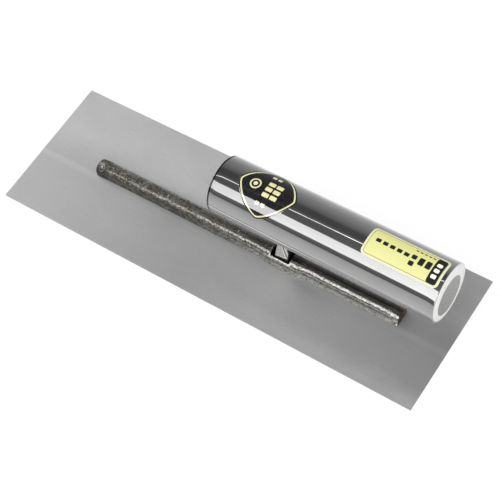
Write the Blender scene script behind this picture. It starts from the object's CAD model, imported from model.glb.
"""A broad riveted blade with a chromed tubular handle carried above it on a forged post.

X runs along the blade and the handle, with the rear end at +X and the front end at -X.
The front side faces -Y and the back +Y. The blade's underside lies at Z = 0, the handle above.
Sizes are in millimetres unless a name or comment says otherwise.
"""
import functools
import math

import bmesh
import bpy
import numpy as np
from mathutils import Matrix, Vector, noise
from mathutils.bvhtree import BVHTree


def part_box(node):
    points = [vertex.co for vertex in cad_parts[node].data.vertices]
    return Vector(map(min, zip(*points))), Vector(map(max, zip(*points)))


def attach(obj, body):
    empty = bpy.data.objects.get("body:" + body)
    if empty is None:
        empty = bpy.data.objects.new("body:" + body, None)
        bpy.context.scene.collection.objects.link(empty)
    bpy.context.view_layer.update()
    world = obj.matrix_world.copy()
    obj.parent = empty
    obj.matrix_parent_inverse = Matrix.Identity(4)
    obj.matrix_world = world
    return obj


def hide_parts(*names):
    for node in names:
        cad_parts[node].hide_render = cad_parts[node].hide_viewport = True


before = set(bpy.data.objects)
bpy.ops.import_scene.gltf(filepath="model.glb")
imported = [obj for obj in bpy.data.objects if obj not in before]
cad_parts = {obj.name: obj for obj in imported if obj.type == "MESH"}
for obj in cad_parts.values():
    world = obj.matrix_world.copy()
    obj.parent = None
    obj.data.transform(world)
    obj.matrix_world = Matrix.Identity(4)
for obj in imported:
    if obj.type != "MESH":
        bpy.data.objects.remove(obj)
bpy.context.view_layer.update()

MM = 0.001
scene = bpy.context.scene
scene.view_settings.view_transform = "Standard"
scene.view_settings.look = "None"


# ---------------------------------------------------------------- sizes from the CAD pieces
def box_mm(node):
    lo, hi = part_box(node)
    return [v / MM for v in lo], [v / MM for v in hi]


BLADE_LO, BLADE_HI = box_mm("blade")
BAR_LO, BAR_HI = box_mm("backbone_bar")
TUBE_LO, TUBE_HI = box_mm("handle_tube")
RING_LO, RING_HI = box_mm("rear_end_ring")
PLUG_LO, PLUG_HI = box_mm("rear_end_plug")
BADGE_LO, BADGE_HI = box_mm("badge_sticker")
LABEL_LO, LABEL_HI = box_mm("size_label")
SADDLE_LO, SADDLE_HI = box_mm("saddle_washer")
NUT_LO, NUT_HI = box_mm("neck_nut")
FRONT_RING_APEX = box_mm("front_end_ring")[0][0]
FRONT_PLUG_FACE = box_mm("front_end_plug")[0][0]
STUD_TOP = box_mm("neck_post")[1][2]

BLADE_TOP = BLADE_HI[2]
TUBE_R = (TUBE_HI[1] - TUBE_LO[1]) / 2
TUBE_BORE = TUBE_R - 1.2
AXIS_Z = (TUBE_HI[2] + TUBE_LO[2]) / 2        # height of the handle's axis
FRONT_REACH = 0.25                            # the handle's front end lies this much further out
STUD_X = (NUT_LO[0] + NUT_HI[0]) / 2

# backbone bar, widened to a boss round the neck's mortise
BAR_X0, BAR_X1 = BAR_LO[0] + 0.3, BAR_HI[0]
BAR_FRONT, BAR_BACK = 5.4, 4.9                # half widths at the foot, a little fuller in front
BAR_H = 7.65
CROWN_R = 4.45
BOSS_X, BOSS_L, BOSS_W = 32.6, 15.0, 6.8      # centre, half length, half width
MORTISE = (25.7, 38.1)                        # its ends along X

# rivets
RIVETS = (-91.3, -43.1, 5.1, 53.3, 101.5)
HEAD_LEAN = (2.3, 0.0, 0.0, 0.0, 0.0)         # how far each head lies in front of its shank
FIRST_HEAD_R, HEAD_R = 2.2, 2.3
SHANK_R, HOLE_R = 1.75, 1.77
SINK_R, SINK_DEPTH = 2.62, 0.6                # countersink under the blade

# stickers, wrapped round the tube
FILM = 0.12
BADGE_X = (BADGE_LO[0] + BADGE_HI[0]) / 2
BADGE_A = (BADGE_HI[0] - BADGE_LO[0]) / 2     # half length along the tube
BADGE_B, BADGE_POWER = 16.1, 1.35             # half width round the tube, outline's exponent
LABEL_X = (LABEL_LO[0] + LABEL_HI[0]) / 2
LABEL_HALF_X = (LABEL_HI[0] - LABEL_LO[0]) / 2
LABEL_BACK = -TUBE_R * math.asin(min(1.0, LABEL_HI[1] / (TUBE_R + FILM)))
LABEL_FRONT = TUBE_R * math.asin(min(1.0, -LABEL_LO[1] / (TUBE_R + FILM)))
LABEL_S = (LABEL_BACK + LABEL_FRONT) / 2
LABEL_HALF_S = (LABEL_FRONT - LABEL_BACK) / 2


# ---------------------------------------------------------------- mesh helpers
def make(name, verts, faces, sharp=35.0):
    """A mesh object from millimetre points. sharp is the smoothing limit in degrees, None is flat."""
    me = bpy.data.meshes.new(name)
    me.from_pydata([tuple(c * MM for c in v) for v in verts], [], faces)
    me.validate()
    me.update()
    ob = bpy.data.objects.new(name, me)
    scene.collection.objects.link(ob)
    fix_normals(ob)
    shade(ob, sharp)
    return ob


def fix_normals(ob):
    bm = bmesh.new()
    bm.from_mesh(ob.data)
    bmesh.ops.recalc_face_normals(bm, faces=bm.faces)
    bm.to_mesh(ob.data)
    bm.free()


def shade(ob, sharp):
    me = ob.data
    me.polygons.foreach_set("use_smooth", [sharp is not None] * len(me.polygons))
    if sharp is not None:
        me.set_sharp_from_angle(angle=math.radians(sharp))
    me.update()


def boolean(ob, cutter, op="DIFFERENCE"):
    """Applies an exact boolean to ob and removes the cutter."""
    mod = ob.modifiers.new("cut", "BOOLEAN")
    mod.operation = op
    mod.solver = "EXACT"
    mod.object = cutter
    graph = bpy.context.evaluated_depsgraph_get()
    graph.update()
    me = bpy.data.meshes.new_from_object(ob.evaluated_get(graph))
    ob.modifiers.clear()
    old = ob.data
    ob.data = me
    bpy.data.meshes.remove(old)
    bpy.data.objects.remove(cutter)


def finish_cut(ob, sharp, name=None):
    """Welds what the booleans left, then shades and, if asked, names the piece."""
    weld = 0.0005 * MM
    bm = bmesh.new()
    bm.from_mesh(ob.data)
    bmesh.ops.remove_doubles(bm, verts=bm.verts, dist=weld)
    bmesh.ops.dissolve_degenerate(bm, edges=bm.edges, dist=weld)
    bmesh.ops.recalc_face_normals(bm, faces=bm.faces)
    bm.to_mesh(ob.data)
    bm.free()
    shade(ob, sharp)
    if name:
        ob.name = ob.data.name = name
    return ob


def join(name, obs):
    bm = bmesh.new()
    for ob in obs:
        bm.from_mesh(ob.data)
    me = bpy.data.meshes.new(name)
    bm.to_mesh(me)
    bm.free()
    for ob in obs:
        bpy.data.objects.remove(ob)
    joined = bpy.data.objects.new(name, me)
    scene.collection.objects.link(joined)
    return joined


def rectangle(x0, y0, x1, y1):
    return [(x0, y0), (x1, y0), (x1, y1), (x0, y1)]


def rounded(points, radii, seg=4):
    """A closed polygon of (a, b) points with its corners rounded."""
    out = []
    for i, p in enumerate(points):
        radius = radii[i] if isinstance(radii, list) else radii
        p = np.array(p, float)
        u = np.array(points[i - 1], float) - p
        v = np.array(points[(i + 1) % len(points)], float) - p
        len_u, len_v = np.linalg.norm(u), np.linalg.norm(v)
        u, v = u / len_u, v / len_v
        angle = math.acos(float(u @ v))
        cut = min(radius / math.tan(angle / 2), 0.48 * len_u, 0.48 * len_v)
        radius = cut * math.tan(angle / 2)
        centre = p + (u + v) / np.linalg.norm(u + v) * (radius / math.sin(angle / 2))
        start, end = p + u * cut - centre, p + v * cut - centre
        a0 = math.atan2(start[1], start[0])
        turn = (math.atan2(end[1], end[0]) - a0 + math.pi) % (2 * math.pi) - math.pi
        for k in range(seg + 1):
            a = a0 + turn * k / seg
            out.append((centre[0] + radius * math.cos(a), centre[1] + radius * math.sin(a)))
    return out


def subdivide(outline, count):
    """Splits each edge of a closed outline into count(i, a, b) equal steps."""
    out = []
    for i, a in enumerate(outline):
        b = outline[(i + 1) % len(outline)]
        steps = count(i, a, b)
        for k in range(steps):
            t = k / steps
            out.append((a[0] + (b[0] - a[0]) * t, a[1] + (b[1] - a[1]) * t))
    return out


def by_length(step):
    """A count for subdivide: steps no shorter than the given length, and at least one."""
    return lambda i, a, b: max(1, int(math.hypot(b[0] - a[0], b[1] - a[1]) / step))


def quads(rows, per, loop_rows=False, loop_points=True):
    """Faces between successive rows of `per` points each."""
    faces = []
    for k in range(rows if loop_rows else rows - 1):
        k2 = (k + 1) % rows
        for i in range(per if loop_points else per - 1):
            i2 = (i + 1) % per
            faces.append((k * per + i, k * per + i2, k2 * per + i2, k2 * per + i))
    return faces


def loft(name, loops, sharp=35.0):
    """A solid through a stack of closed loops, with flat ends."""
    n, last = len(loops[0]), len(loops) - 1
    faces = quads(len(loops), n)
    faces.append(tuple(reversed(range(n))))
    faces.append(tuple(range(last * n, (last + 1) * n)))
    return make(name, [p for loop in loops for p in loop], faces, sharp)


def turn(name, profile, place, seg, closed, sharp):
    """Turns a profile; place(point, cos, sin) gives a position. An open one gets flat discs."""
    m = len(profile)
    verts = []
    for k in range(seg):
        a = 2 * math.pi * k / seg
        verts += [place(point, math.cos(a), math.sin(a)) for point in profile]
    faces = quads(seg, m, loop_rows=True, loop_points=closed)
    if not closed:
        faces.append(tuple(k * m for k in range(seg)))
        faces.append(tuple(k * m + m - 1 for k in reversed(range(seg))))
    return make(name, verts, faces, sharp)


def turn_x(name, profile, seg, closed=True, sharp=35.0):
    """Turns (x, radius, shift) points about the handle's axis.

    A point's circle moves off the axis by shift times the end openings' offset.
    """
    offset_y, offset_z = -0.80, -0.60

    def place(point, cos, sin):
        x, r, shift = point
        return x, offset_y * shift + r * sin, AXIS_Z + offset_z * shift + r * cos

    return turn(name, profile, place, seg, closed, sharp)


def turn_z(profile, cx, cy=0.0, seg=64):
    """A cutter turned from open (radius, z) points about a vertical axis."""
    def place(point, cos, sin):
        return cx + point[0] * cos, cy + point[0] * sin, point[1]

    return turn("cutter", profile, place, seg, False, 35.0)


def tube_cutter(x0, x1, radius):
    """A plain cylinder on the handle's axis."""
    return turn_x("cutter", [(x0, radius, 0.0), (x1, radius, 0.0)], 256, closed=False)


def prism(name, outline, z0, z1):
    n = len(outline)
    verts = [(x, y, z0) for x, y in outline] + [(x, y, z1) for x, y in outline]
    faces = [tuple(range(n)), tuple(reversed(range(n, 2 * n)))]
    faces += [(i, (i + 1) % n, n + (i + 1) % n, n + i) for i in range(n)]
    return make(name, verts, faces, sharp=None)


def smooth01(t):
    t = max(0.0, min(1.0, t))
    return t * t * (3 - 2 * t)


def wave(x, y, z):
    return noise.noise(Vector((x, y, z)))


def fbm(x, y, z, octaves, seed):
    """Fractal noise; the seed moves it to another part of the field."""
    at = Vector((x + seed * 7.31, y - seed * 3.17, z + seed * 1.93))
    return noise.fractal(at, 0.9, 2.1, octaves, noise_basis="PERLIN_ORIGINAL")


# ---------------------------------------------------------------- shader helpers
def operator(op, swapped=False):
    def method(self, other):
        a, b = (other, self) if swapped else (self, other)
        return self.graph.math(op, a, b)
    return method


class Value:
    """A shader socket; arithmetic on it adds Math nodes to its graph."""
    def __init__(self, graph, socket):
        self.graph = graph
        self.socket = socket

    __add__ = operator("ADD")
    __radd__ = operator("ADD", swapped=True)
    __sub__ = operator("SUBTRACT")
    __rsub__ = operator("SUBTRACT", swapped=True)
    __mul__ = operator("MULTIPLY")
    __truediv__ = operator("DIVIDE")
    __pow__ = operator("POWER")

    def __abs__(self):
        return self.graph.math("ABSOLUTE", self)


def rgba(color):
    """A number is a grey, three numbers a colour; a Value passes through."""
    if isinstance(color, Value):
        return color
    if isinstance(color, (int, float)):
        color = (color, color, color)
    return (*color, 1.0)


class Graph:
    def __init__(self, tree):
        self.tree = tree
        tree.nodes.clear()

    def node(self, kind, **props):
        n = self.tree.nodes.new(kind)
        for key, value in props.items():
            setattr(n, key, value)
        return n

    def put(self, socket, value):
        """Links a socket or Value, or sets a plain default."""
        if isinstance(value, Value):
            value = value.socket
        if isinstance(value, bpy.types.NodeSocket):
            self.tree.links.new(value, socket)
        else:
            socket.default_value = value

    def math(self, op, a, b=None, clamp=False):
        n = self.node("ShaderNodeMath", operation=op, use_clamp=clamp)
        self.put(n.inputs[0], a)
        if b is not None:
            self.put(n.inputs[1], b)
        return Value(self, n.outputs[0])

    def vector(self, op, a, b=None, scale=None):
        n = self.node("ShaderNodeVectorMath", operation=op)
        self.put(n.inputs[0], a)
        if b is not None:
            self.put(n.inputs[1], b)
        if scale is not None:
            self.put(n.inputs["Scale"], scale)
        return Value(self, n.outputs["Value" if op == "DOT_PRODUCT" else "Vector"])

    def split(self, vector):
        n = self.node("ShaderNodeSeparateXYZ")
        self.put(n.inputs[0], vector)
        return [Value(self, out) for out in n.outputs]

    def combine(self, x, y=0.0, z=0.0):
        n = self.node("ShaderNodeCombineXYZ")
        for i, v in enumerate((x, y, z)):
            self.put(n.inputs[i], v)
        return Value(self, n.outputs[0])

    def linear(self, value, start, end, low=0.0, high=1.0, kind="LINEAR"):
        """`low` at `start` to `high` at `end`, held constant beyond them."""
        n = self.node("ShaderNodeMapRange", interpolation_type=kind, clamp=True)
        for i, v in enumerate((value, start, end, low, high)):
            self.put(n.inputs[i], v)
        return Value(self, n.outputs[0])

    def fade(self, value, start, end, low=0.0, high=1.0):
        """As linear, eased at both ends."""
        return self.linear(value, start, end, low, high, "SMOOTHSTEP")

    def band(self, value, rise, fall, peak=1.0):
        """0 outside, `peak` between two eased flanks, each given as (start, end)."""
        return self.fade(value, *rise) * self.fade(value, *fall, peak, 0.0)

    def union(self, masks):
        return functools.reduce(lambda a, b: self.math("MAXIMUM", a, b), masks)

    def mix(self, factor, a, b, mode="MIX"):
        n = self.node("ShaderNodeMix", data_type="RGBA", blend_type=mode, clamp_factor=True)
        self.put(n.inputs[0], factor)
        self.put(n.inputs[6], rgba(a))
        self.put(n.inputs[7], rgba(b))
        return Value(self, n.outputs[2])

    def tint(self, a, b):
        return self.mix(1.0, a, b, "MULTIPLY")

    def ramp(self, value, stops):
        """Colours at (position, colour) stops."""
        n = self.node("ShaderNodeValToRGB")
        elements = n.color_ramp.elements
        n.color_ramp.interpolation = "LINEAR"
        while len(elements) < len(stops):
            elements.new(0.5)
        for element, (position, color) in zip(elements, stops):
            element.position = position
            element.color = rgba(color)
        self.put(n.inputs[0], value)
        return Value(self, n.outputs[0])

    def shader(self, kind, color, strength=1.0):
        n = self.node(kind)
        self.put(n.inputs[0], color)
        self.put(n.inputs[1], strength)
        return n.outputs[0]

    def mix_shader(self, factor, a, b):
        n = self.node("ShaderNodeMixShader")
        for i, v in enumerate((factor, a, b)):
            self.put(n.inputs[i], v)
        return n.outputs[0]


INPUTS = {
    "color": "Base Color", "metallic": "Metallic", "rough": "Roughness", "normal": "Normal",
    "coat": "Coat Weight", "coat_rough": "Coat Roughness", "coat_ior": "Coat IOR",
    "spec": "Specular IOR Level",
}


class Mat(Graph):
    """A Principled material whose point is the object position in millimetres."""
    def __init__(self, name):
        self.material = bpy.data.materials.new(name)
        self.material.use_nodes = True
        super().__init__(self.material.node_tree)
        self.out = self.node("ShaderNodeOutputMaterial")
        self.principled = self.node("ShaderNodeBsdfPrincipled")
        self.put(self.out.inputs[0], self.principled.outputs[0])
        coords = self.node("ShaderNodeTexCoord")
        self.point = self.vector("SCALE", coords.outputs["Object"], scale=1000.0)

    def set(self, **values):
        for key, value in values.items():
            self.put(self.principled.inputs[INPUTS[key]], value)
        return self

    def xyz(self):
        return self.split(self.point)

    def noise(self, freq=None, at=None, detail=4.0, rough=0.55, distortion=0.0):
        """Noise of a frequency per mm, one number or one per axis, or at a given vector."""
        if at is None:
            freq = freq if isinstance(freq, tuple) else (freq, freq, freq)
            at = self.vector("MULTIPLY", self.point, freq)
        n = self.node("ShaderNodeTexNoise")
        settings = (("Vector", at), ("Scale", 1.0), ("Detail", detail), ("Roughness", rough),
                    ("Distortion", distortion))
        for key, value in settings:
            self.put(n.inputs[key], value)
        return Value(self, n.outputs[0])

    def bump(self, height, depth, strength=1.0):
        """Relief of a depth in mm."""
        n = self.node("ShaderNodeBump")
        self.put(n.inputs["Strength"], strength)
        self.put(n.inputs["Distance"], depth * MM)
        self.put(n.inputs["Height"], height)
        return Value(self, n.outputs[0])


def paint(ob, mat):
    ob.data.materials.clear()
    ob.data.materials.append(mat.material)


# ---------------------------------------------------------------- metal materials
# `(noise - 0.5) * width` added to a coordinate makes an edge wander by about that many mm.
def blade_material():
    m = Mat("satin_stainless_sheet")
    grain = m.noise((0.10, 3.2, 3.2), detail=5.0, rough=0.6)       # rolling lines along the blade
    speck = m.noise(2.6, rough=0.65)                               # fine satin speckle
    cloud = m.noise((0.018, 0.03, 0.03), detail=3.0, rough=0.5)    # broad handling haze
    blend = grain * 0.40 + (speck * 0.42 + cloud * 0.18)
    col = m.ramp(blend, [
        (0.36, (0.500, 0.502, 0.505)), (0.5, 0.560), (0.64, (0.625, 0.622, 0.618)),
    ])
    # rubbed duller in front of the handle, cleaner along the back; greys along the length
    x, y, z = m.xyz()
    wander = (m.noise((0.03, 0.05, 0.05), detail=3.0, rough=0.5) - 0.5) * 16.0
    across = y + wander
    along = m.linear(x, -135.0, 135.0)
    back = m.ramp(along, [(0.0, 0.530), (0.35, 0.580), (0.72, 0.600), (1.0, 0.570)])
    front = m.ramp(along, [
        (0.0, 0.450), (0.24, 0.475), (0.36, 0.43), (0.55, 0.435), (0.80, 0.43), (1.0, 0.376),
    ])
    edge = m.ramp(along, [
        (0.0, 0.465), (0.24, 0.455), (0.36, 0.43), (0.55, 0.475), (0.80, 0.53), (1.0, 0.54),
    ])
    tone = m.mix(m.fade(across, -4.0, 18.0), front, back)
    tone = m.mix(m.fade(across, -27.0, -39.0), tone, edge)
    # wiped cleaner in a narrow strip along the bar's front side
    wiped = m.band(y, (-9.5, -6.5), (-5.0, -4.0))
    tone = m.mix(wiped, tone, m.tint(tone, 1.11))
    col = m.tint(col, m.tint(tone, 2.0))
    rough = m.linear(grain * 0.5 + cloud * 0.5, 0.35, 0.65, low=0.36, high=0.46)
    relief = grain * 0.7 + speck * 0.3
    return m.set(color=col, metallic=0.72, rough=rough, normal=m.bump(relief, depth=0.012))


def forged_steel(name):
    """Forged steel, scaled and dull towards the front end, dressed bright towards the rear end.

    Returns the material with its colour left unset, that colour, (x, y, z), and the fine and
    middle noises.
    """
    m = Mat(name)
    x, y, z = m.xyz()
    big = m.noise((0.09, 0.28, 0.28), rough=0.6)
    mid = m.noise((0.55, 0.8, 0.8), detail=3.0, distortion=0.3)
    fine = m.noise((1.0, 1.35, 1.35), detail=2.0, rough=0.6)
    worked = m.fade(x + (mid - 0.5) * 70.0, -40.0, 50.0)
    geometry = m.node("ShaderNodeNewGeometry")
    worn = m.linear(geometry.outputs["Pointiness"], 0.505, 0.56)
    blend = mid * 0.40 + (big * 0.15 + fine * 0.45)
    dull = m.ramp(blend, [
        (0.40, (0.10, 0.09, 0.075)), (0.47, (0.25, 0.235, 0.205)),
        (0.53, (0.40, 0.39, 0.365)), (0.60, (0.66, 0.65, 0.64)),
    ])
    bright = m.ramp(blend, [
        (0.39, (0.20, 0.18, 0.155)), (0.45, (0.52, 0.505, 0.475)),
        (0.52, (0.76, 0.75, 0.735)), (0.60, (0.95, 0.945, 0.94)),
    ])
    base = m.mix(worked, dull, bright)
    # brown and greenish scale left in the hollows
    scale = m.mix(m.linear(big, 0.44, 0.56), (0.92, 0.97, 0.82), (1.04, 0.97, 0.94))
    col = m.mix(m.linear(blend, 0.42, 0.54, 0.9, 0.1), base, m.tint(base, scale))
    # darkening round the upper flank of the dull part, and a line under the bright crown
    low = (m.fade(z + (mid - 0.5) * 2.0, 5.9, 6.6, 1.0, 0.0)
           * m.linear(worked, 0.0, 1.0, 0.60, 0.0))
    col = m.mix(low, col, (0.05, 0.048, 0.04))
    seam = m.fade(z, 3.9, 4.5) * m.fade(z + (mid - 0.5) * 1.5, 5.4, 6.1, 0.55, 0.0)
    seam = seam * m.linear(y, -2.6, -3.2)
    col = m.mix(seam * worked, col, (0.10, 0.095, 0.085))
    # heavier scale along the crown's back half, over the worn ridges
    crown = m.fade(y + (mid - 0.5) * 2.2, -2.1, -1.2, 0.0, 0.86) * worked
    col = m.mix(worn * 0.45, col, (0.70, 0.69, 0.68))
    col = m.mix(crown, col, (0.048, 0.045, 0.038))
    # the lowered front end keeps its scale
    nose = m.fade(x + (mid - 0.5) * 3.0, -89.5, -84.5, 0.88, 0.0)
    nose_col = m.mix(m.fade(fine, 0.42, 0.58), (0.05, 0.05, 0.042), (0.165, 0.16, 0.135))
    col = m.mix(nose, col, nose_col)
    # the sawn rear end face is brown
    sawn = m.math("GREATER_THAN", x, BAR_X1 - 0.4)
    rust = m.linear(y, -0.5, 2.5) * m.linear(fine, 0.40, 0.56)
    col = m.mix(sawn * 0.92, col, m.mix(rust, (0.060, 0.046, 0.036), (0.36, 0.23, 0.16)))
    metal = m.math("SUBTRACT", m.linear(worked, 0.0, 1.0, 0.93, 1.0),
                   m.linear(fine, 0.36, 0.46, 1.0, 0.0) * 0.12, clamp=True)
    rough = m.linear(worked, 0.0, 1.0, 0.19, 0.09) + m.linear(fine, 0.38, 0.62, 0.10, 0.0)
    rough = rough + nose * 0.28
    # the socket's front lip is rubbed bright
    lip = m.band(y, (-4.85, -4.55), (-3.6, -3.2)) * m.band(x, (24.0, 25.5), (38.5, 39.5))
    lip = lip * m.fade(z, 3.6, 4.4) * m.fade(fine, 0.40, 0.56, 0.35, 0.95)
    col = m.mix(lip, col, (0.92, 0.91, 0.87))
    metal = metal * m.fade(lip, 0.0, 1.0, 1.0, 0.25)
    relief = mid * 0.6 + fine * 0.4
    m.set(metallic=metal, rough=rough, normal=m.bump(relief, depth=0.042, strength=0.9))
    return m, col, (x, y, z), fine, mid


def bar_material():
    m, col, _, _, _ = forged_steel("forged_scale_steel")
    return m.set(color=col)


def rivet_material():
    m, base, (x, y, z), fine, mid = forged_steel("hammered_rivet_steel")
    # distance from the nearest head's centre
    distance = None
    for rivet_x, lean in zip(RIVETS, HEAD_LEAN):
        dx, dy = x - rivet_x, y + lean
        r = m.math("SQRT", dx * dx + dy * dy)
        distance = r if distance is None else m.math("MINIMUM", distance, r)
    r = distance + (mid - 0.5) * 0.7
    # the first head has rings of dark scale and a paler ring and centre
    edge = m.fade(r, 1.95, 2.20, 0.0, 0.9)
    groove = m.band(r, (1.1, 1.3), (1.5, 1.7), peak=0.75)
    first = m.linear(x, -85.0, -80.0, 1.0, 0.0)
    col = m.mix(m.math("MAXIMUM", edge, groove) * first, base, (0.05, 0.045, 0.035))
    halo = m.band(r, (1.45, 1.6), (1.85, 2.0), peak=0.55) * first
    col = m.mix(halo, col, (0.66, 0.65, 0.63))
    centre = m.fade(r, 0.6, 1.15, 1.0, 0.0) * first
    col = m.mix(centre * 0.85, col, (0.56, 0.55, 0.53))
    # the flush ends under the blade are satin
    satin = m.mix(m.linear(fine, 0.35, 0.65), 0.48, (0.62, 0.62, 0.61))
    return m.set(color=m.mix(m.linear(z, 0.5, 0.9), satin, col))


def neck_material():
    m = Mat("ground_forging")
    x, y, z = m.xyz()
    lines = m.noise((2.2, 2.2, 0.30), detail=5.0, rough=0.6)       # grinding lines up the post
    spots = m.noise(0.9, detail=5.0, rough=0.65)
    geometry = m.node("ShaderNodeNewGeometry")
    normal = geometry.outputs["Normal"]

    def facing_front():
        return m.linear(m.split(normal)[1], -0.9, -0.6, 1.0, 0.0)

    worn = m.linear(geometry.outputs["Pointiness"], 0.505, 0.55)
    blend = lines * 0.6 + spots * 0.4
    col = m.ramp(blend, [
        (0.38, (0.30, 0.28, 0.26)), (0.47, (0.56, 0.55, 0.52)), (0.58, (0.76, 0.75, 0.73)),
    ])
    # heat tint in streaks, and bright worn ridges
    streak = m.linear(m.noise((1.3, 1.3, 0.12), detail=3.0, rough=0.6), 0.52, 0.62)
    col = m.mix(streak * 0.45, col, (0.50, 0.33, 0.32))
    col = m.mix(worn * 0.6, col, 0.90)
    # slanting strokes on the front face: from, to, strength, colour
    slant = (x + z * 0.054) + (spots - 0.5) * 0.7
    face = facing_front()
    for start, end, peak, color in (
        (36.2, 37.0, 0.85, 0.95),
        (37.2, 37.9, 0.92, (0.12, 0.05, 0.045)),
        (38.05, 38.8, 0.75, (0.93, 0.92, 0.92)),
    ):
        stroke = m.band(slant, (start - 0.15, start), (end, end + 0.15), peak)
        col = m.mix(stroke * face, col, color)
    # bright just above the socket; height is measured from the sloping foot line
    height = z - (x - 28.1) * 0.26
    foot = m.linear(height, 8.3, 9.0, 1.0, 0.0) * m.linear(height, 7.4, 7.7, 0.0, 0.8)
    col = m.mix(foot, col, 0.93)
    # scale stays on the foot, down in the socket, and on the face towards the rear end
    col = m.mix(m.fade(height, 7.15, 7.55, 0.97, 0.0), col, (0.012, 0.011, 0.011))
    rear = m.fade(m.split(normal)[0], 0.45, 0.75, 0.0, 0.93)
    col = m.mix(rear, col, (0.05, 0.045, 0.045))
    deep = m.fade(height + (spots - 0.5) * 0.5, 7.1, 7.5, 1.0, 0.0)
    col = m.mix(deep * 0.92, col, (0.05, 0.045, 0.04))
    rough = m.linear(blend, 0.36, 0.64, 0.42, 0.24)
    metal = m.linear(facing_front(), 0.0, 1.0, 0.9, 0.35)
    return m.set(color=col, metallic=metal, rough=rough,
                 normal=m.bump(blend, depth=0.08, strength=0.8))


def chrome_material():
    m = Mat("polished_chrome_tube")
    x, y, z = m.xyz()
    arc = m.math("ARCTAN2", y, z - AXIS_Z) * TUBE_R
    # drawing lines along the tube
    draw = m.noise(at=m.combine(x * 0.035, arc * 1.1), rough=0.6)
    smear = m.noise((0.07, 0.12, 0.12))
    pin = m.noise(1.4, detail=3.0, rough=0.6)
    col = m.ramp(smear * 0.6 + draw * 0.4, [
        (0.38, (0.80, 0.80, 0.805)), (0.62, (0.875, 0.873, 0.868)),
    ])
    # the buffing stops short of the front end and leaves a dark line there
    inward = (x - TUBE_LO[0]) + (smear - 0.5) * 0.5
    line = m.band(inward, (-0.15, 0.02), (0.75, 1.15), peak=0.88)
    col = m.mix(line, col, (0.03, 0.03, 0.033))
    rough = m.linear(smear, 0.35, 0.68, 0.015, 0.045)
    relief = draw * 0.8 + pin * 0.12
    return m.set(color=col, metallic=1.0, rough=rough, normal=m.bump(relief, depth=0.006))


def turning_marks(m, freq):
    """Noise in rings round the handle's axis."""
    x, y, z = m.xyz()
    up = z - AXIS_Z
    r = m.math("SQRT", y * y + up * up)
    return m.noise(at=m.combine(r * freq), detail=3.0, rough=0.6)


def ring_material():
    m = Mat("white_end_ring")
    spots = m.noise(0.5, detail=5.0, rough=0.6)
    fine = m.noise(4.0, rough=0.6)
    marks = turning_marks(m, 3.5)
    col = m.ramp(spots * 0.55 + (fine * 0.2 + marks * 0.25), [
        (0.36, (0.74, 0.735, 0.715)), (0.5, (0.81, 0.808, 0.795)), (0.66, (0.86, 0.86, 0.855)),
    ])
    return m.set(color=col, metallic=0.0, rough=m.linear(fine, 0.35, 0.65, 0.24, 0.36),
                 spec=0.5, normal=m.bump(marks * 0.6 + fine * 0.4, depth=0.02))


def plug_material():
    m = Mat("turned_steel_plug")
    marks = turning_marks(m, 5.0)
    spots = m.noise(0.9, detail=5.0, rough=0.6)
    fine = m.noise(4.5, rough=0.6)
    col = m.ramp(spots * 0.4 + (fine * 0.25 + marks * 0.35), [
        (0.38, (0.36, 0.36, 0.345)), (0.5, (0.46, 0.46, 0.445)), (0.62, (0.56, 0.56, 0.55)),
    ])
    return m.set(color=col, metallic=0.8, rough=m.linear(fine, 0.35, 0.65, 0.34, 0.46),
                 normal=m.bump(marks * 0.7 + fine * 0.3, depth=0.02))


def zinc_material():
    m = Mat("zinc_plated_fixing")
    spots = m.noise(0.6, detail=5.0, rough=0.6)
    fine = m.noise(3.5, rough=0.6)
    col = m.mix(m.linear(spots, 0.38, 0.62), (0.50, 0.51, 0.54), (0.66, 0.66, 0.64))
    return m.set(color=col, metallic=0.9, rough=m.linear(fine, 0.35, 0.65, 0.28, 0.42),
                 normal=m.bump(fine, depth=0.02))


# ---------------------------------------------------------------- sticker materials
def around_handle(m):
    """(x, s): x along the handle, s round it from its top line, positive towards the front."""
    x, y, z = m.xyz()
    return x, m.math("ARCTAN2", y * -1.0, z - AXIS_Z) * TUBE_R


def block(m, at, centre_x, centre_s, half_x, half_s, corner, soft=0.10):
    """1 inside a rounded rectangle on the handle, with a soft edge."""
    x, s = at
    dx = abs(x - centre_x) - (half_x - corner)
    ds = abs(s - centre_s) - (half_s - corner)
    out_x, out_s = m.math("MAXIMUM", dx, 0.0), m.math("MAXIMUM", ds, 0.0)
    outside = m.math("SQRT", out_x * out_x + out_s * out_s)
    distance = outside + m.math("MINIMUM", m.math("MAXIMUM", dx, ds), 0.0)
    return m.fade(distance - corner, -soft, soft, 1.0, 0.0)


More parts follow.
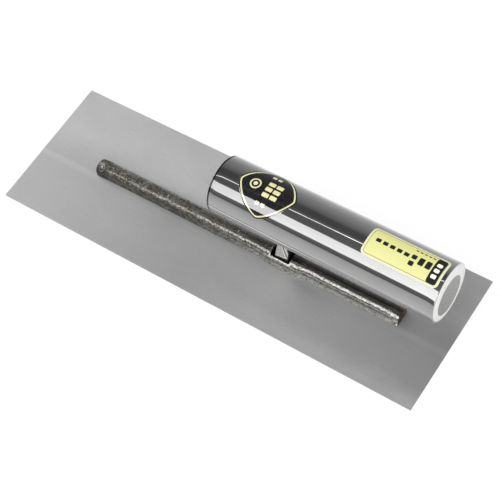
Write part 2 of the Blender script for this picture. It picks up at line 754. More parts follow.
def badge_material():
    m = Mat("gloss_badge_film")
    x, s = at = around_handle(m)
    ex = abs((x - BADGE_X) / BADGE_A) ** BADGE_POWER
    es = abs(s / BADGE_B) ** BADGE_POWER
    out = (ex + es) ** (1.0 / BADGE_POWER)       # 1 on the outline
    marks = [m.band(out, (0.888, 0.904), (0.940, 0.956))]
    # plain blocks: three rows of two, then pairs above and below
    for row in range(3):
        for col in range(2):
            place = (BADGE_X + 0.4 + 4.6 * col, -3.9 + 3.4 * row)
            marks.append(block(m, at, *place, half_x=1.9, half_s=1.15, corner=0.5))
    for pair_s in (8.2, -9.2):
        for dx in (-1.6, 1.6):
            marks.append(block(m, at, BADGE_X + dx, pair_s, half_x=1.1, half_s=0.95, corner=0.35))
    # a ring with a dot in it
    ring_r = 3.0
    dx = (x - (BADGE_X - 7.6)) / ring_r
    ds = (s - -0.6) / ring_r
    ring = m.math("SQRT", dx * dx + ds * ds)
    marks.append(m.band(ring, (0.70, 0.76), (0.97, 1.03)))
    marks.append(m.fade(ring, 0.36, 0.42, 1.0, 0.0))
    ink = m.union(marks)
    mottle = m.noise(0.8, rough=0.6)
    black = m.mix(m.linear(mottle, 0.35, 0.65), (0.006, 0.006, 0.007), (0.013, 0.012, 0.014))
    gold = m.mix(m.linear(mottle, 0.35, 0.65), (0.58, 0.56, 0.29), (0.68, 0.66, 0.40))
    return m.set(color=m.mix(ink, black, gold), metallic=0.0,
                 rough=m.linear(mottle, 0.3, 0.7, 0.22, 0.32), spec=0.3,
                 coat=1.0, coat_rough=0.0, coat_ior=1.5,
                 normal=m.bump(ink, depth=0.02, strength=0.6))


def label_blocks():
    """The label's printed blocks: centre x and s, half sizes in x and s, corner radius."""
    x0 = LABEL_X - LABEL_HALF_X
    blocks = [(x0 + 5.6 + 3.9 * i, LABEL_S - 1.3 + 0.1 * i, 1.35, 1.05, 0.4) for i in range(5)]
    blocks += [(x0 + 25.2, LABEL_S - 1.4 + 3.7 * i, 1.35, 1.25, 0.5) for i in range(2)]
    blocks += [(x0 + 29.4 + 3.9 * i, LABEL_S - 0.6, 1.45, 2.1, 0.5) for i in range(2)]
    blocks += [(x0 + 24.6 + 2.3 * i, LABEL_S - 5.6, 0.75, 0.34, 0.2) for i in range(5)]
    return blocks


def label_material():
    m = Mat("printed_label_film")
    x, s = at = around_handle(m)

    def inset(margin, corner):
        return block(m, at, LABEL_X, LABEL_S, LABEL_HALF_X - margin, LABEL_HALF_S - margin,
                     corner, soft=0.07)

    outer = inset(1.15, corner=1.6)
    inner = inset(1.42, corner=1.4)
    keyline = m.math("SUBTRACT", outer, inner, clamp=True)
    mottle = m.noise(0.7, rough=0.6)
    border = m.mix(m.linear(mottle, 0.35, 0.65), (0.59, 0.59, 0.37), (0.64, 0.64, 0.43))
    # the field is a little deeper towards the front edge
    depth = m.linear(s + mottle * 3.0, LABEL_S - LABEL_HALF_S, LABEL_S + LABEL_HALF_S, 1.0, 0.0)
    field = m.mix(depth, (0.610, 0.605, 0.270), (0.575, 0.590, 0.205))
    col = m.mix(inner, border, field)
    printed = [keyline * 0.75] + [block(m, at, *sizes) for sizes in label_blocks()]
    # dark block at the rear end with three pale spots in it
    dark_x = LABEL_X + LABEL_HALF_X - 4.0
    dark = block(m, at, dark_x, LABEL_S, half_x=2.6, half_s=LABEL_HALF_S - 1.2,
                 corner=1.2, soft=0.08)
    ink = m.union(printed + [dark * 1.0])
    pale = m.union([block(m, at, dark_x, LABEL_S + ds, half_x=1.35, half_s=1.0, corner=0.6)
                    for ds in (3.4, 0.2, -3.0)])
    col = m.mix(ink, col, 0.012)
    col = m.mix(pale, col, (0.86, 0.87, 0.66))
    return m.set(color=col, metallic=0.0, rough=m.linear(mottle, 0.3, 0.7, 0.42, 0.52),
                 spec=0.35, normal=m.bump(mottle, depth=0.01, strength=0.6))


# ---------------------------------------------------------------- blade
def build_blade():
    half_x, half_y = (BLADE_HI[0] - BLADE_LO[0]) / 2, (BLADE_HI[1] - BLADE_LO[1]) / 2
    chamfer, corner = 0.07, 0.25
    loops = []
    for z, inset in ((0.0, chamfer), (chamfer, 0.0),
                     (BLADE_TOP - chamfer, 0.0), (BLADE_TOP, chamfer)):
        corners = rectangle(-half_x + inset, -half_y + inset, half_x - inset, half_y - inset)
        loops.append([(x, y, z) for x, y in rounded(corners, corner - inset * 0.5, 3)])
    ob = loft("blade_sheet", loops, sharp=None)
    below = 0.7                       # the countersink's cone runs on this far under the blade
    wide = SINK_R + below * (SINK_R - HOLE_R) / SINK_DEPTH
    profile = [(wide, -below), (HOLE_R, BLADE_TOP), (HOLE_R, BLADE_TOP + 1.0)]
    boolean(ob, join("cutters", [turn_z(profile, x, seg=48) for x in RIVETS]))
    shade(ob, None)
    return ob


# ---------------------------------------------------------------- backbone bar
FLANK_STEPS, CROWN_STEPS, BOTTOM_STEPS = 9, 60, 12


def bar_section(x):
    """(front half width, back half width, height, crown radius, crown centre's y) at x."""
    boss = smooth01(max(0.0, 1.0 - ((x - BOSS_X) / BOSS_L) ** 2) ** 0.75)
    front = BAR_FRONT + (BOSS_W - BAR_FRONT) * boss
    back = BAR_BACK + (BOSS_W - 0.3 - BAR_BACK) * boss
    height = BAR_H + 0.35 * boss
    front += 0.10 * wave(x * 0.055, 1.7, 0.3) + 0.07 * wave(x * 0.19, 4.2, 0.9)
    back += 0.10 * wave(x * 0.060, 9.7, 5.3) + 0.07 * wave(x * 0.17, 2.2, 7.9)
    height += 0.10 * wave(x * 0.045, 8.1, 2.3) + 0.05 * wave(x * 0.21, 6.4, 1.1)
    boss = max(0.0, min(1.0, (front - BAR_FRONT) / (BOSS_W - BAR_FRONT)))
    # both ends are forged down lower
    end = 1.0 - smooth01(min(x - BAR_X0, BAR_X1 - x) / 6.5)
    rear = end if x > 0 else 0.0
    radius = CROWN_R + 1.3 * boss + 0.60 * (end - rear)
    return front, back + 0.25 * end + 0.15 * rear, height - 1.55 * end, radius, 0.62 * rear


def section_points(front, back, height, radius, centre):
    """(y, z, normal y, normal z) from the front foot over the crown to the back foot."""
    spring = height - radius
    front_run, back_run = front + (centre - radius), back - (centre + radius)
    front_lean, back_lean = math.atan2(front_run, spring), math.atan2(back_run, spring)

    def lean_in(t):
        return 1.0 - (1.0 - t) ** 1.6

    points = []
    for i in range(FLANK_STEPS):
        t = i / FLANK_STEPS
        a = front_lean * (1 - t)
        points.append((-front + front_run * lean_in(t), spring * t, -math.cos(a), math.sin(a)))
    for i in range(CROWN_STEPS + 1):
        a = -math.pi / 2 + math.pi * i / CROWN_STEPS
        sin, cos = math.sin(a), math.cos(a)
        points.append((centre + radius * sin, spring + radius * cos, sin, cos))
    for i in range(1, FLANK_STEPS + 1):
        t = 1 - i / FLANK_STEPS
        a = back_lean * (1 - t)
        points.append((back - back_run * lean_in(t), spring * t, math.cos(a), math.sin(a)))
    return points


def bar_relief(x, y, z, height, radius):
    """How far the forged surface stands out at a point."""
    d = 0.050 * fbm(x * 0.16, y * 0.30, z * 0.30, 3, 1.0)
    d += 0.020 * fbm(x * 0.55, y * 0.55, z * 0.55, 3, 2.0)
    d += 0.008 * fbm(x * 1.5 + y * 0.5, y * 1.1, z * 1.1, 2, 4.0)
    # dressing strokes slant across the crown, heavier towards the rear end
    worked = smooth01((x + 30.0) / 70.0)
    arc = math.atan2(y, max(0.2, z - (height - radius))) * radius
    strokes = fbm((x + 0.9 * arc) * 0.42, (x - 0.9 * arc) * 0.10, 0.0, 2, 8.0)
    d += (0.012 + 0.034 * worked) * strokes * smooth01(z / 1.2)
    # scattered pits
    d -= 0.12 * max(0.0, wave(x * 0.8, y * 0.9 + 13.0, z * 0.9) - 0.50)
    # calmer round the rivet heads
    for rivet_x, lean in zip(RIVETS, HEAD_LEAN):
        r = math.hypot(x - rivet_x, y + lean)
        if r < 4.4 and z > 3.0:
            d *= 0.45 + 0.55 * smooth01((r - 2.3) / 1.8)
    # a raised lip round the mortise
    off = math.hypot(max(MORTISE[0] - x, 0.0, x - MORTISE[1]), max(-4.1 - y, 0.0, y - 4.3))
    if z > height - 3.6 and off < 2.0:
        d += 0.10 * math.exp(-((off - 0.35) / 0.45) ** 2)
    return d


def bar_row(x, round_r):
    """One closed loop round the bar; the ends are rounded over a length of round_r."""
    front, back, height, radius, centre = bar_section(x)
    from_front = x - BAR_X0
    front_limit = front - max(0.0, 1.1 - from_front)
    back_limit = back - max(0.0, 0.6 - from_front)
    e = min(from_front, BAR_X1 - x)
    inset = 0.0
    if e < round_r:
        inset = round_r - math.sqrt(max(0.0, round_r ** 2 - (round_r - e) ** 2))
    if BAR_X1 - x < round_r:
        inset *= 0.5
    row = []
    for y, z, normal_y, normal_z in section_points(front, back, height, radius, centre):
        d = bar_relief(x, y, z, height, radius)
        new_y = y + d * normal_y * (0.35 + 0.65 * smooth01(z / 1.2))
        new_z = z + d * normal_z
        if z < 0.5:
            new_y -= math.copysign(0.22 * (1.0 - z / 0.5) ** 2, y)
        # the front end's corners are cut back
        if from_front < 2.0:
            new_y = max(-front_limit + 0.04 * wave(x * 2, z * 2, 3.0), new_y)
        if from_front < 1.0:
            new_y = min(back_limit + 0.04 * wave(x * 2, z * 2, 7.0), new_y)
        if inset > 0:
            new_y *= 1.0 - inset / 5.0
            new_z *= 1.0 - inset / 7.0 * (z / height)
        row.append((x, new_y, BLADE_TOP + max(0.0, new_z)))
    # flat bottom, back to front
    back_y, front_y = row[-1][1], row[0][1]
    for i in range(1, BOTTOM_STEPS):
        row.append((x, back_y + (front_y - back_y) * i / BOTTOM_STEPS, BLADE_TOP))
    return row


def build_bar():
    step, round_r = 0.38, 0.75
    ends = [0.0, 0.05, 0.15, 0.3, 0.5, round_r]
    inner = int((BAR_X1 - BAR_X0 - 2 * round_r - step) / step)
    xs = [BAR_X0 + e for e in ends]
    xs += list(np.linspace(BAR_X0 + round_r + step, BAR_X1 - round_r - step, inner))
    xs += [BAR_X1 - e for e in reversed(ends)]
    rows = [bar_row(x, round_r) for x in xs]
    m = len(rows[0])
    verts = [p for row in rows for p in row]
    faces = quads(len(rows), m)
    # slightly hollow end faces, closed by inset loops
    mid_z = BLADE_TOP + BAR_H * 0.45
    for side, k in ((-1, 0), (1, len(rows) - 1)):
        loop = range(k * m, (k + 1) * m)
        for shrink in (0.94, 0.84, 0.70, 0.54, 0.38, 0.22, 0.08):
            new = range(len(verts), len(verts) + m)
            for x, y, z in rows[k]:
                y, z = y * shrink, mid_z + (z - mid_z) * shrink
                dent = 0.05 + 0.05 * fbm(y * 0.6, z * 0.6, side * 9.0, 3, 3.0)
                verts.append((x - side * max(0.0, dent), y, z))
            for i in range(m):
                j = (i + 1) % m
                faces.append((loop[i], loop[j], new[j], new[i]))
            loop = new
        faces.append(tuple(loop))
    return make("forged_backbone_bar", verts, faces, sharp=50.0)


def wobble(outline, amp, seed):
    out = []
    for x, y in subdivide(outline, by_length(0.7)):
        x += amp * wave(x * 0.9, y * 0.9, seed)
        y += amp * wave(x * 0.9, y * 0.9, seed + 5.0)
        out.append((x, y))
    return out


def cut_bar(bar):
    """The mortise, the pocket for the neck's foot and the rivet holes, in one cut."""
    x0, x1 = MORTISE
    outline = rounded([(x0, -3.95), (x1, -4.1), (x1, 4.4), (x0, 4.4)], 0.7, 3)
    low, high = BLADE_TOP - 0.5, BLADE_TOP + 12.0
    socket = prism("cutter", wobble(outline, 0.12, 2.0), BLADE_TOP + 1.0, high)
    boolean(socket, prism("cutter", rectangle(24.6, -5.3, 40.4, 5.3), low, BLADE_TOP + 2.0),
            "UNION")
    first = turn_z([(HOLE_R, low), (HOLE_R, BLADE_TOP + 4.5)], RIVETS[0], seg=48)
    head_hole = FIRST_HEAD_R + 0.02
    boolean(first, turn_z([(head_hole, BLADE_TOP + 3.28), (head_hole, high)],
                          RIVETS[0], -HEAD_LEAN[0]), "UNION")
    head_hole = HEAD_R + 0.02
    profile = [(HOLE_R, low), (HOLE_R, BLADE_TOP + 4.8), (head_hole, BLADE_TOP + 5.8),
               (head_hole, high)]
    others = [turn_z(profile, x, seg=48) for x in RIVETS[1:]]
    boolean(bar, join("cutters", [socket, first] + others))
    finish_cut(bar, 50.0)


# ---------------------------------------------------------------- rivets
def build_rivet(i, bar_tree):
    """Countersunk end, shank and upset head. The first head is hammered over to the front.

    The heads follow the uncut bar's surface, which bar_tree holds.
    """
    seg = 48
    first = i == 0
    rivet_x, head_y = RIVETS[i], -HEAD_LEAN[i]
    head_r = FIRST_HEAD_R if first else HEAD_R
    # radius, z, y of the circle's centre
    profile = [(2.54, 0.0, 0.0), (2.6, 0.03, 0.0), (SHANK_R, BLADE_TOP, 0.0)]
    if first:
        profile += [(SHANK_R, BLADE_TOP + 2.9, 0.0), (SHANK_R, BLADE_TOP + 3.3, -0.9),
                    (head_r, BLADE_TOP + 3.32, head_y), (head_r, BLADE_TOP + 3.5, head_y)]
    else:
        profile += [(SHANK_R, BLADE_TOP + 4.8, 0.0), (head_r, BLADE_TOP + 5.75, 0.0)]
    m = len(profile)
    circle = [(math.cos(2 * math.pi * k / seg), math.sin(2 * math.pi * k / seg))
              for k in range(seg)]
    verts = [(rivet_x + r * cos, cy + r * sin, z) for cos, sin in circle for r, z, cy in profile]
    faces = quads(seg, m, loop_rows=True, loop_points=False)
    faces.append(tuple(k * m for k in range(seg)))
    loop = [k * m + m - 1 for k in range(seg)]
    for g in (1.0, 0.97, 0.92, 0.84, 0.74, 0.62, 0.50, 0.36, 0.2):
        new = range(len(verts), len(verts) + seg)
        for cos, sin in circle:
            x, y = rivet_x + head_r * g * cos, head_y + head_r * g * sin
            hit = bar_tree.ray_cast(Vector((x * MM, y * MM, 0.05)), Vector((0, 0, -1)))[0]
            z = BLADE_TOP + BAR_H - 0.4 if hit is None else hit.z / MM
            if first:
                # a struck ring round a raised centre
                z = max(z, BLADE_TOP + 3.62)
                z += 0.08 * math.exp(-((g - 0.78) / 0.11) ** 2)
                z += 0.14 * smooth01((0.62 - g) / 0.4) - 0.12 * smooth01((g - 0.88) / 0.12)
                z += 0.07 * wave(x * 1.1, y * 1.1, 4.0)
            else:
                z += 0.03 - 0.06 * max(0.0, (g - 0.87) / 0.13) ** 2
            verts.append((x, y, z))
        for k in range(seg):
            k2 = (k + 1) % seg
            faces.append((loop[k], new[k], new[k2], loop[k2]))
        loop = new
    faces.append(tuple(reversed(loop)))
    return make("rivet", verts, faces, sharp=40.0)


def build_rivets(bar_tree):
    rivets = join("blade_rivet_set", [build_rivet(i, bar_tree) for i in range(len(RIVETS))])
    fix_normals(rivets)
    shade(rivets, 40.0)
    return rivets


# ---------------------------------------------------------------- neck post
NECK_TOP = 43.2
NECK = (
    # z, x towards the front end, x towards the rear end, half depth, chamfers at those two x
    (BLADE_TOP + 2.0, 26.8, 36.6, 2.75, 0.8, 0.4),
    (BLADE_TOP + 5.0, 27.4, 36.5, 2.75, 0.7, 0.3),
    (BLADE_TOP + 8.0, 28.4, 36.8, 2.8, 0.6, 0.3),
    (BLADE_TOP + 10.2, 29.0, 37.2, 2.8, 0.6, 0.3),
    (BLADE_TOP + 14.0, 30.1, 38.2, 2.9, 0.6, 0.4),
    (18.5, 31.2, 38.9, 3.0, 0.6, 0.5),
    (22.0, 32.1, 39.2, 3.1, 0.7, 0.7),
    (28.0, 33.1, 39.5, 3.4, 0.9, 0.9),
    (NECK_TOP, 33.6, 40.2, 3.4, 0.9, 0.9),
)
NECK_LEVELS = 104
NECK_STEPS = (8, 18, 4, 16, 4, 18, 8, 14)     # along each straight side between the corners


def neck_at(z):
    """The section's five sizes at z, on a smooth curve through the stations."""
    zs = [station[0] for station in NECK]
    last = len(zs) - 1
    k = min(last - 1, int(np.searchsorted(zs, z, side="right")) - 1)
    span = zs[k + 1] - zs[k]
    t = (z - zs[k]) / span
    t2, t3 = t * t, t * t * t

    def slope(i, column):
        if i == 0:
            return 0.0
        j = min(i + 1, last)
        return (NECK[j][column] - NECK[i - 1][column]) / (zs[j] - zs[i - 1])

    return [(2 * t3 - 3 * t2 + 1) * NECK[k][c] + (t3 - 2 * t2 + t) * slope(k, c) * span
            + (-2 * t3 + 3 * t2) * NECK[k + 1][c] + (t3 - t2) * slope(k + 1, c) * span
            for c in range(1, 6)]


def neck_loop(z):
    x0, x1, half, cut0, cut1 = neck_at(z)
    octagon = [
        (x0, -half + cut0), (x0 + cut0, -half), (x1 - cut1, -half), (x1, -half + cut1),
        (x1, half - cut1), (x1 - cut1, half), (x0 + cut0, half), (x0, half - cut0),
    ]
    # each rounded corner has three points; the sides after them are split for fine relief
    points = subdivide(rounded(octagon, 0.28, 2),
                       lambda i, a, b: NECK_STEPS[i // 3] if i % 3 == 2 else 1)
    centre = (x0 + x1) / 2
    loop = []
    for x, y in points:
        d = 0.10 * fbm(x * 0.35, y * 0.35, z * 0.22, 3, 5.0)
        d += 0.035 * fbm(x * 1.3, y * 1.3, z * 0.6, 3, 6.0)
        r = math.hypot(x - centre, y)
        loop.append((x + d * (x - centre) / r, y + d * y / r, z))
    return loop


def build_stud():
    """The threaded stud, a real helix."""
    pitch, root_r, crest_r = 1.0, 2.42, 2.95
    seg, per_turn = 48, 12
    z0, z1 = AXIS_Z - TUBE_R - 1.0, STUD_TOP
    levels = int((z1 - z0) / pitch * per_turn)
    loops = []
    for k in range(levels + 1):
        z = z0 + (z1 - z0) * k / levels
        loop = []
        for i in range(seg):
            a = 2 * math.pi * i / seg
            flank = abs(2 * (((z / pitch) - i / seg) % 1.0) - 1)
            r = root_r + (crest_r - root_r) * max(0.0, min(1.0, (flank - 0.12) / 0.76))
            r = min(r, crest_r - max(0.0, 0.7 - (z1 - z)) * 0.8)      # chamfered tip
            if z < z0 + 2.6:                                          # plain shank
                r = crest_r
            loop.append((STUD_X + r * math.cos(a), r * math.sin(a), z))
        loops.append(loop)
    return loft("stud", loops)


def build_neck():
    zs = np.linspace(NECK[0][0], NECK_TOP, NECK_LEVELS)
    post = loft("neck", [neck_loop(z) for z in zs], sharp=40.0)
    # saddle-shaped shoulder against the tube
    boolean(post, tube_cutter(10.0, 60.0, TUBE_R + 0.01))
    # foot trapped between bar and blade
    foot = rounded(rectangle(24.8, -5.1, 40.2, 5.1), 0.5, 3)
    boolean(post, prism("foot", foot, BLADE_TOP + 0.02, BLADE_TOP + 2.01), "UNION")
    boolean(post, build_stud(), "UNION")
    return finish_cut(post, 40.0, "forged_neck_post")


# ---------------------------------------------------------------- handle tube and its ends
def build_tube():
    section = rectangle(TUBE_LO[0] - FRONT_REACH, TUBE_R, TUBE_HI[0] + 0.1, TUBE_BORE)
    profile = rounded(section, [0.35, 0.4, 0.2, 0.2], 6)
    # rings along the length keep the faces well shaped
    profile = subdivide(profile, lambda i, a, b: max(1, int(abs(b[0] - a[0]) / 4.0)))
    ob = turn_x("chromed_handle_tube", [(x, r, 0.0) for x, r in profile], 256)
    bottom = AXIS_Z - TUBE_R
    boolean(ob, turn_z([(3.2, bottom - 3.0), (3.2, bottom + 4.0)], STUD_X, seg=48))
    return finish_cut(ob, 30.0)


def build_ring(name, apex, out, tube_end):
    """apex: the dome's outermost x; out: +1 rear, -1 front; tube_end: where the tube stops."""
    rim_r = (RING_HI[1] - RING_LO[1]) / 2
    hole_r, skirt, dome_steps = 10.7, 7.0, 14
    rim = tube_end + out * 0.15
    rise = abs(apex - rim)
    profile = [(tube_end + out * 0.01, rim_r - 0.02, 0.0), (tube_end + out * 0.08, rim_r, 0.0)]
    for k in range(dome_steps + 1):
        t = k / dome_steps
        r = rim_r - 0.03 - (rim_r - 0.03 - hole_r - 0.25) * t
        profile.append((rim + out * rise * (1.0 - (1.0 - t) ** 1.9), r, t))
    profile += [
        (apex - out * 0.02, hole_r + 0.12, 1.0), (apex - out * 0.07, hole_r + 0.04, 1.0),
        (apex - out * 0.16, hole_r, 1.0), (tube_end - out * skirt, hole_r, 1.0),
        (tube_end - out * skirt, TUBE_BORE - 0.44, 0.0),
        (tube_end - out * (skirt - 0.8), TUBE_BORE - 0.04, 0.0),
        (tube_end - out * 0.02, TUBE_BORE - 0.04, 0.0), (tube_end + out * 0.01, TUBE_BORE, 0.0),
    ]
    return turn_x(name, profile, 192, sharp=40.0)


def build_plug(name, face, out):
    """A disc with faint turned ripples on its face."""
    plug_r = (PLUG_HI[1] - PLUG_LO[1]) / 2
    inner, steps = 0.4, 11
    profile = [(face, inner, 1.0)]
    for k in range(1, steps + 1):
        r = inner + (plug_r - 0.35 - inner) * k / steps
        ripple = 0.012 * (0.5 + 0.5 * math.cos(r * 5.2)) if k < steps else 0.0
        profile.append((face - out * ripple, r, 1.0))
    # distance behind the face, radius
    for depth, r in ((0.04, plug_r - 0.16), (0.14, plug_r - 0.03), (0.3, plug_r),
                     (5.0, plug_r), (5.0, inner)):
        profile.append((face - out * depth, r, 1.0))
    return turn_x(name, profile, 160, closed=False)


# ---------------------------------------------------------------- stickers
def build_film(name, outline, centre_x, centre_s, rings=26):
    """A thin film on the handle, from (x, s) outline points; s runs round the tube."""
    n = len(outline)
    low, high = TUBE_R + 0.004, TUBE_R + FILM

    def wrap(x, s, r):
        a = s / TUBE_R
        return (x, -r * math.sin(a), AXIS_Z + r * math.cos(a))

    verts = [wrap(centre_x, centre_s, high)]
    loops = []

    def add_loop(radius, scale=1.0, grow=0.0):
        loops.append(range(len(verts), len(verts) + n))
        for x, s in outline:
            dx, ds = x - centre_x, s - centre_s
            f = scale + grow / math.hypot(dx, ds)
            verts.append(wrap(centre_x + dx * f, centre_s + ds * f, radius))

    for k in range(1, rings + 1):
        add_loop(high, scale=k / rings)
    # soft edge
    for grow, radius in ((0.035, high - 0.02), (0.05, high - 0.06), (0.05, low + 0.02),
                         (0.0, low)):
        add_loop(radius, grow=grow)
    for k in range(rings - 1, 0, -1):
        add_loop(low, scale=k / rings)
    under = len(verts)
    verts.append(wrap(centre_x, centre_s, low))
    faces = []
    for i in range(n):
        j = (i + 1) % n
        faces.append((0, loops[0][i], loops[0][j]))
        faces.append((under, loops[-1][j], loops[-1][i]))
    for a, b in zip(loops[:-1], loops[1:]):
        for i in range(n):
            j = (i + 1) % n
            faces.append((a[i], b[i], b[j], a[j]))
    return make(name, verts, faces, sharp=60.0)


def lozenge(count):
    """Evenly spaced points on the badge's outline, |x/a|^p + |s/b|^p = 1."""
    samples = 4000
    half_x, half_s, power = BADGE_A - 0.05, BADGE_B - 0.05, 2 / BADGE_POWER
    dense = []
    for k in range(samples):
        a = 2 * math.pi * k / samples
        cos, sin = math.cos(a), math.sin(a)
        dense.append((BADGE_X + half_x * math.copysign(abs(cos) ** power, cos),
                      half_s * math.copysign(abs(sin) ** power, sin)))
    run = [0.0]
    for k in range(samples):
        a, b = dense[k], dense[(k + 1) % samples]
        run.append(run[-1] + math.hypot(b[0] - a[0], b[1] - a[1]))
    out = []
    k = 0
    for i in range(count):
        while run[k + 1] < run[-1] * i / count:
            k += 1
        out.append(dense[k])
    return out


def label_outline():
    gap = 0.05
    corners = rectangle(LABEL_X - LABEL_HALF_X + gap, LABEL_BACK + gap,
                        LABEL_X + LABEL_HALF_X - gap, LABEL_FRONT - gap)
    return subdivide(rounded(corners, 2.4, 10), by_length(1.0))


# ---------------------------------------------------------------- fixing inside the tube
def build_nut():
    corner_r = (NUT_HI[1] - NUT_LO[1]) / math.sqrt(3)
    z0, z1 = NUT_LO[2], NUT_HI[2]
    hexagon = [(STUD_X + corner_r * math.cos(math.pi / 3 * k),
                corner_r * math.sin(math.pi / 3 * k)) for k in range(6)]
    ob = prism("nut", rounded(hexagon, 0.25, 3), z0, z1)
    # chamfered corners, top and bottom
    small, large = corner_r - 0.75, corner_r + 0.05
    boolean(ob, turn_z([(small, z0 - 0.001), (large, z0 + 0.5), (large, z1 - 0.5),
                        (small, z1 + 0.001)], STUD_X, seg=96), "INTERSECT")
    boolean(ob, turn_z([(3.5, z0 - 0.3), (3.0, z0 + 0.35), (3.0, z1 - 0.35),
                        (3.5, z1 + 0.3)], STUD_X))
    return finish_cut(ob, 25.0, "hex_nut")


def build_saddle():
    z0, z1 = AXIS_Z - TUBE_R, SADDLE_HI[2]
    half_x, half_y = (SADDLE_HI[0] - SADDLE_LO[0]) / 2, (SADDLE_HI[1] - SADDLE_LO[1]) / 2
    plate = rectangle(STUD_X - half_x, -half_y, STUD_X + half_x, half_y)
    ob = prism("saddle", rounded(plate, 1.2, 5), z0, z1)
    # the underside follows the tube's bore
    boolean(ob, tube_cutter(10.0, 70.0, TUBE_BORE - 0.01), "INTERSECT")
    boolean(ob, turn_z([(3.1, z0 - 1.0), (3.1, z1 + 1.0)], STUD_X))
    return finish_cut(ob, 25.0, "curved_saddle_washer")


# ---------------------------------------------------------------- assembly
blade = build_blade()
bar = build_bar()
uncut_bar = BVHTree.FromObject(bar, bpy.context.evaluated_depsgraph_get())
cut_bar(bar)
rivets = build_rivets(uncut_bar)
neck = build_neck()
tube = build_tube()
rear_ring = build_ring("rear_domed_ring", RING_HI[0], 1, TUBE_HI[0])
front_ring = build_ring("front_domed_ring", FRONT_RING_APEX - FRONT_REACH, -1,
                        TUBE_LO[0] - FRONT_REACH)
rear_plug = build_plug("rear_plug_disc", PLUG_HI[0], 1)
front_plug = build_plug("front_plug_disc", FRONT_PLUG_FACE - FRONT_REACH, -1)
badge = build_film("lozenge_badge_film", lozenge(176), BADGE_X, 0.0)
label = build_film("printed_label_sheet", label_outline(), LABEL_X, LABEL_S)
nut = build_nut()
saddle = build_saddle()

ring_white = ring_material()
plug_steel = plug_material()
zinc = zinc_material()
# piece, material, the CAD piece it stands in for, material slot
for ob, mat, node, slot in (
    (blade, blade_material(), "blade", "blade_steel"),
    (bar, bar_material(), "backbone_bar", "bar_steel"),
    (rivets, rivet_material(), "blade_rivets", "rivet_steel"),
    (neck, neck_material(), "neck_post", "neck_steel"),
    (tube, chrome_material(), "handle_tube", "handle_chrome"),
    (rear_ring, ring_white, "rear_end_ring", "end_ring_white"),
    (rear_plug, plug_steel, "rear_end_plug", "end_plug_steel"),
    (front_ring, ring_white, "front_end_ring", "end_ring_white"),
    (front_plug, plug_steel, "front_end_plug", "end_plug_steel"),
    (saddle, zinc, "saddle_washer", "fixing_steel"),
    (nut, zinc, "neck_nut", "fixing_steel"),
    (badge, badge_material(), "badge_sticker", "badge_film"),
    (label, label_material(), "size_label", "label_film"),
):
    paint(ob, mat)
    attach(ob, "root")
    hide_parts(node)


# ---------------------------------------------------------------- floor
def floor_material():
    """Nearly white to the camera; to mirrors, a grey sweep that is lighter behind the tool."""
    m = Mat("pale_floor")
    m.set(color=(0.88, 0.88, 0.88, 1), rough=0.9, spec=0.0)
    x, y, z = m.xyz()
    grey = m.ramp(m.linear(y, -600.0, 600.0), [
        (0.0, 0.392), (0.197, 0.418), (0.308, 0.430), (0.358, 0.448), (0.392, 0.462),
        (0.425, 0.482), (0.4375, 0.52), (0.449, 0.54), (0.4555, 0.54), (0.4648, 0.54),
        (0.50, 0.42), (0.540, 0.86), (0.553, 0.84), (0.576, 0.74), (0.616, 0.54),
        (0.717, 0.40), (1.0, 0.34),
    ])
    # dark and bright strips lie askew in front of the blade
    askew = y - x * 0.2
    near = m.fade(y, -43.0, -41.0, 1.0, 0.0) * m.fade(x, -130.0, -110.0)
    rear = m.fade(x, 0.0, 20.0)
    front = 1.0 - rear
    soft = 0.75
    # from, to, which end of the tool, grey
    for start, end, side, tone in (
        (-65.5, -58.0, front, 0.10), (-57.5, -49.5, front, 0.88), (-49.0, -42.0, front, 0.30),
        (-69.0, -54.5, rear, 0.33), (-54.0, -46.5, rear, 0.85),
    ):
        strip = m.band(askew, (start - soft, start + soft), (end - soft, end + soft))
        grey = m.mix(strip * side * near, grey, tone)
    mirrored = m.shader("ShaderNodeEmission", grey)
    path = m.node("ShaderNodeLightPath").outputs
    # the camera sees mostly white, with only a faint shadow
    white = m.shader("ShaderNodeEmission", rgba(1.0))
    whiteness = m.math("MULTIPLY", path["Is Camera Ray"], 0.80)
    pale = m.mix_shader(whiteness, m.principled.outputs[0], white)
    m.put(m.out.inputs[0], m.mix_shader(path["Is Glossy Ray"], pale, mirrored))
    return m


def build_floor():
    half, z = 4.0, -0.00005           # metres
    me = bpy.data.meshes.new("floor")
    me.from_pydata([(x, y, z) for x, y in rectangle(-half, -half, half, half)],
                   [], [(0, 1, 2, 3)])
    floor = bpy.data.objects.new("floor", me)
    scene.collection.objects.link(floor)
    paint(floor, floor_material())


# ---------------------------------------------------------------- world
def room_position(degrees):
    """Ramp position of an angle from straight up, positive towards the front."""
    return (degrees + 90.0) / 180.0


# (degrees, grey) of the room round the X axis, as satin and as perfectly smooth surfaces see it
SATIN_ROOM = (
    (-90, .32), (-80, .27), (-74, .235), (-62, .205), (-50, .163), (-40, .130), (-34, .105),
    (-29, .074), (-24, .058), (-10, .060), (-2, .083), (6, .092), (26, .100), (31, .12),
    (50, .12), (66, .15), (70, .115), (78, .092), (90, .092),
)
SMOOTH_ROOM = (
    (-90, .25), (-50, .14), (-20, .05), (3, .09), (30, .12), (70, .14), (90, .1),
)


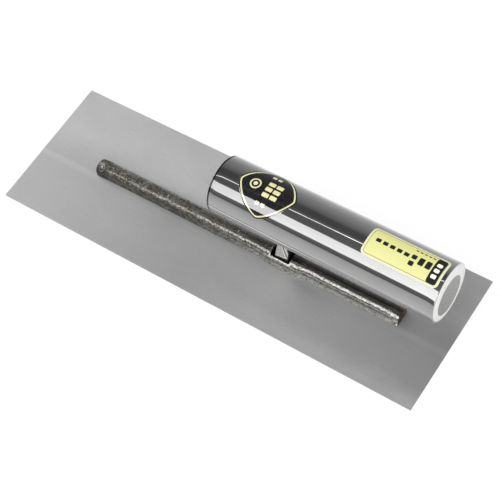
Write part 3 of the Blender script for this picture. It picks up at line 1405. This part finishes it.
def build_world():
    """White to the camera, an even dome to diffuse light, a banded studio to mirrors."""
    world = bpy.data.worlds.new("studio")
    scene.world = world
    world.use_nodes = True
    world.cycles.sampling_method = "NONE"
    g = Graph(world.node_tree)
    out = g.node("ShaderNodeOutputWorld")
    direction = g.node("ShaderNodeTexCoord").outputs["Generated"]
    x, y, z = g.split(direction)
    angle = g.math("ARCTAN2", y * -1.0, z) * (180.0 / math.pi)
    position = g.linear(angle, -90.0, 90.0)
    # the lamp line, the softbox and the table edge each lie a little askew to the tool
    along = x + 0.35

    def edge(middle, slope, half=0.7):
        """Rises at a middle angle that shifts by slope along the tool; degrees."""
        return g.fade(angle - (middle + along * slope), -half, half)

    def between(lower, upper):
        return lower * (1.0 - upper)

    def room(table):
        return g.ramp(position, [(room_position(a), grey) for a, grey in table])

    satin = room(SATIN_ROOM)
    lamp = between(edge(1.8, -35.0, 0.6), edge(3.5, -35.0, 0.6))
    glimmer = between(edge(-4.0, -35.0, 1.5), edge(6.0, -35.0, 1.5)) * 0.03
    softbox = between(edge(31.9, 18.0), edge(65.6, 35.0))
    table = edge(83.7, 30.0, 1.6)
    panel = g.ramp(g.linear(angle, 28.0, 70.0), [
        (0.0, .86), (0.2, .90), (0.6, .95), (0.85, 1.0), (1.0, .95),
    ])
    satin = g.mix(softbox, satin, panel)
    satin = g.mix(lamp, satin, (1.7, 1.7, 1.82))
    satin = g.mix(table, satin, (0.355, 0.355, 0.36))
    satin = g.mix(glimmer, satin, 1.0)
    # perfectly smooth film sees the softbox at its full strength
    smooth = room(SMOOTH_ROOM)
    smooth = g.mix(softbox, smooth, (1.0, 1.0, 1.02))
    smooth = g.mix(lamp, smooth, (1.0, 1.0, 1.05))
    smooth = g.vector("SCALE", smooth, scale=1.0 + softbox * 14.0)
    # a broad glow low beyond the front end, which the satin blade picks up
    glow_from = tuple(Vector((-0.86, 0.22, 0.46)).normalized())
    glow = g.fade(g.vector("DOT_PRODUCT", direction, glow_from), 0.90, 0.985) * 3.2
    # the room is dimmer towards the front end of the tool
    satin = g.vector("SCALE", satin, scale=g.linear(x, -0.50, -0.25, 0.87, 1.11))
    satin = g.vector("ADD", satin, g.combine(glow, glow, glow))

    path = g.node("ShaderNodeLightPath").outputs
    kind = "ShaderNodeBackground"
    dome = g.shader(kind, rgba(1.0), strength=0.75)
    white = g.shader(kind, rgba(1.0))
    mirrored = g.mix_shader(path["Is Singular Ray"], g.shader(kind, satin),
                            g.shader(kind, smooth))
    lit = g.mix_shader(path["Is Glossy Ray"], dome, mirrored)
    g.put(out.inputs[0], g.mix_shader(path["Is Camera Ray"], lit, white))


# ---------------------------------------------------------------- key light and camera
def build_key_light():
    """One large soft key near the camera, so that its shadows stay behind the tool."""
    light = bpy.data.lights.new("soft_key", "AREA")
    light.shape = "DISK"
    light.size = 0.8                  # metres
    light.energy = 9.0                # watts
    ob = bpy.data.objects.new("soft_key", light)
    ob.location = (0.12, -0.42, 0.95)
    ob.rotation_mode = "QUATERNION"
    ob.rotation_quaternion = (-ob.location).to_track_quat("-Z", "Y")
    ob.visible_camera = False
    ob.visible_glossy = False
    scene.collection.objects.link(ob)


def build_camera():
    data = bpy.data.cameras.new("camera")
    data.sensor_width = 36.0
    data.lens = 99.762
    data.clip_start, data.clip_end = 0.01, 20.0      # metres
    camera = bpy.data.objects.new("camera", data)
    scene.collection.objects.link(camera)
    place = (310.484, -266.078, 641.368)
    # heading from +Y towards -X, downward tilt, and roll about the line of sight
    heading, tilt, roll = math.radians(48.753), math.radians(58.177), math.radians(17.26)
    forward = Vector((-math.sin(heading) * math.cos(tilt), math.cos(heading) * math.cos(tilt),
                      -math.sin(tilt)))
    level = Vector((math.cos(heading), math.sin(heading), 0.0))
    right = level * math.cos(roll) + forward.cross(level) * math.sin(roll)
    up = -(forward.cross(right))
    rows = [(right[i], up[i], -forward[i], place[i] * MM) for i in range(3)]
    camera.matrix_world = Matrix((*rows, (0, 0, 0, 1)))
    scene.camera = camera


build_floor()
build_world()
build_key_light()
build_camera()
